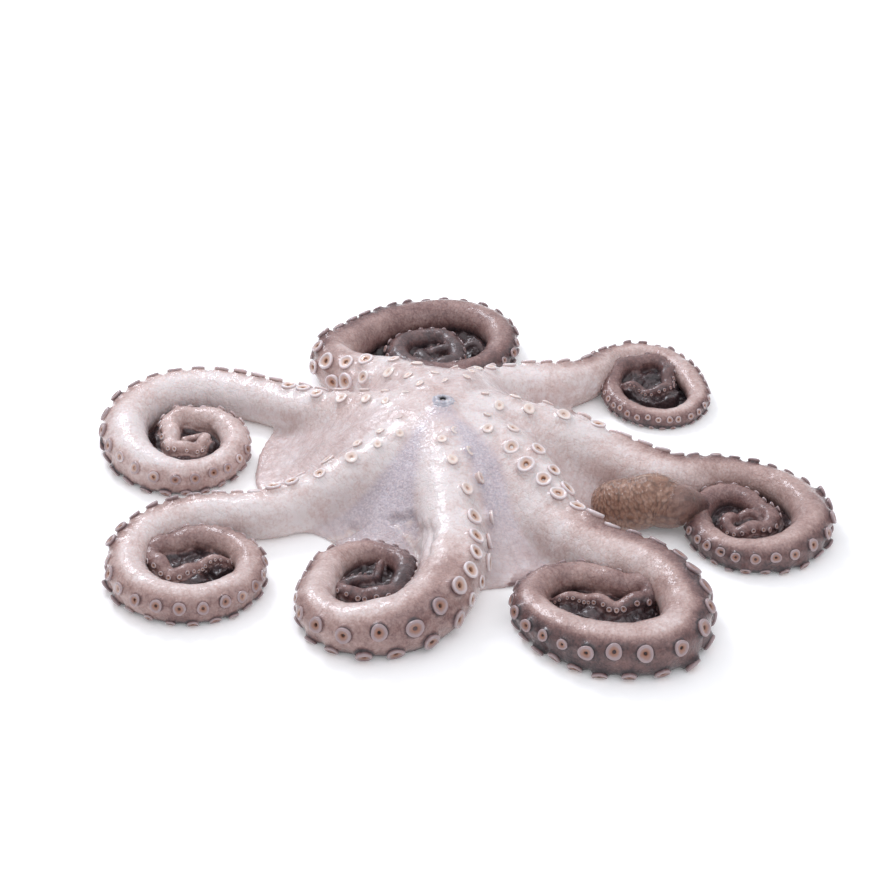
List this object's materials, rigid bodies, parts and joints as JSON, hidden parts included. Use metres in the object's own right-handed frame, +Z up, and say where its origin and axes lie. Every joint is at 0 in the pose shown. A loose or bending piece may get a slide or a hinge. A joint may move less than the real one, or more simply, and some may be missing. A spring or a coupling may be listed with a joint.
{
  "type": "octopus",
  "caption": "Whole raw octopus lying mouth up, its suckered arms curled into coils round a low dome of web.",
  "frame": {"origin": "point on the flat resting face straight below the mouth", "axes": "+Z up out of the mouth, +X along the longer side of the spread arms"},
  "size_m": [0.3917, 0.3477, 0.05],
  "materials": {
    "octopus_flesh": "raw wet flesh, pale pinkish beige, purple-brown along the suckers, slightly glossy"
  },
  "bodies": {
    "root": {"octopus": "octopus_flesh"}
  },
  "joints": []
}
